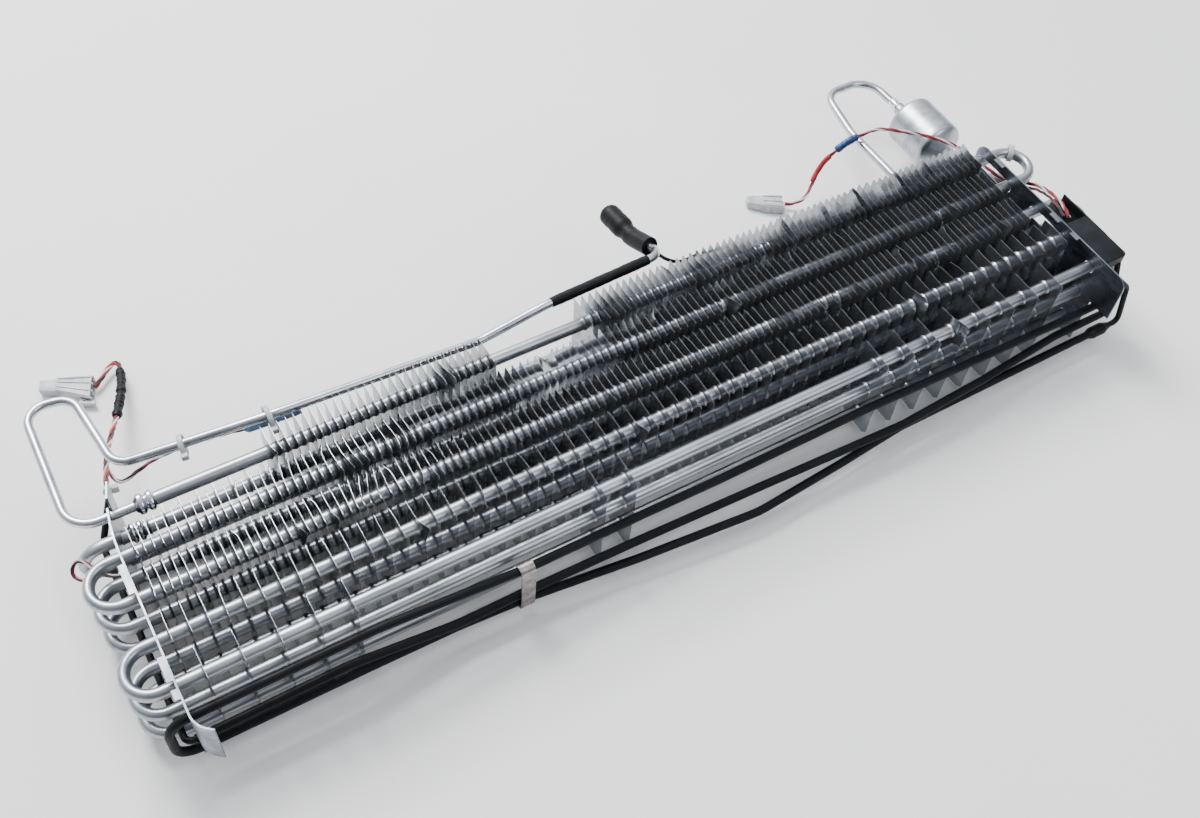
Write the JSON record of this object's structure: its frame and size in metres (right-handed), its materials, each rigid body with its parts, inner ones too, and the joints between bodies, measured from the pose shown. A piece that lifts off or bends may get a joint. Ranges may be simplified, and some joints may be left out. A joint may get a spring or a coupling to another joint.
{
  "type": "refrigerator evaporator coil",
  "caption": "Finned aluminium evaporator coil of a refrigerator, with end plates, accumulator, inlet and outlet pipes, defrost heater, sensor and wiring.",
  "frame": {"origin": "on the foot of the left end plate, in line with the middle row of tubes", "axes": "+X along the coil towards the accumulator, +Y across the rows towards the inlet row, +Z from the back layer to the front layer; the coil lies on its back"},
  "size_m": [0.6869, 0.305, 0.0774],
  "materials": {
    "plate_sheet": "rolled sheet, dull",
    "coil_tube": "drawn tube, satin",
    "fin_sheet": "rolled foil, slightly dull",
    "pipe": "drawn pipe, bright satin",
    "joint": "swaged, bright",
    "accumulator": "spun, satin",
    "heater_sheath": "matte black",
    "black_rubber": "matte",
    "clip_steel": "dull",
    "sensor_plastic": "moulded, blue",
    "natural_nylon": "translucent, undyed",
    "black_plastic": "moulded, matte",
    "red_wire": "extruded insulation",
    "dark_wire": "extruded insulation",
    "red_sleeve": "heat-shrunk",
    "blue_tape": "wound tape"
  },
  "bodies": {
    "root": {"left_end_plate": "plate_sheet", "right_end_plate": "plate_sheet", "front_layer_tube": "coil_tube", "middle_layer_tube": "coil_tube", "back_layer_tube": "coil_tube", "riser_tube": "coil_tube", "row_1_inlet_fins": "fin_sheet", "row_1_lower_fins": "fin_sheet", "row_1_main_fins": "fin_sheet", "row_2_fins": "fin_sheet", "row_3_fins": "fin_sheet", "row_4_fins": "fin_sheet", "row_5_left_fins": "fin_sheet", "row_5_middle_fins": "fin_sheet", "row_5_right_fins": "fin_sheet", "inlet_pipe": "pipe", "outlet_pipe": "pipe", "inlet_joint": "joint", "lock_ring": "joint", "outlet_joint": "joint", "accumulator": "accumulator", "heater_second_run": "heater_sheath", "heater_right_bend": "heater_sheath", "heater_front_run": "heater_sheath", "heater_left_bend": "heater_sheath", "heater_back_run": "heater_sheath", "inlet_shrink_sleeve": "black_rubber", "end_sleeve": "black_rubber", "heater_end_seal": "black_rubber", "heater_left_lead": "black_rubber", "heater_right_lead": "black_rubber", "harness_tape": "black_rubber", "heater_clip": "clip_steel", "defrost_sensor": "sensor_plastic", "cable_ties": "natural_nylon", "harness_connector": "natural_nylon", "fuse_connector": "natural_nylon", "terminal_box": "black_plastic", "harness_wires": "red_wire", "sensor_wires": "red_wire", "left_wire_loop": "red_wire", "fuse_wires": "red_wire", "box_wires": "dark_wire", "fuse_sleeve": "red_sleeve", "fuse_tape": "blue_tape"}
  },
  "joints": []
}
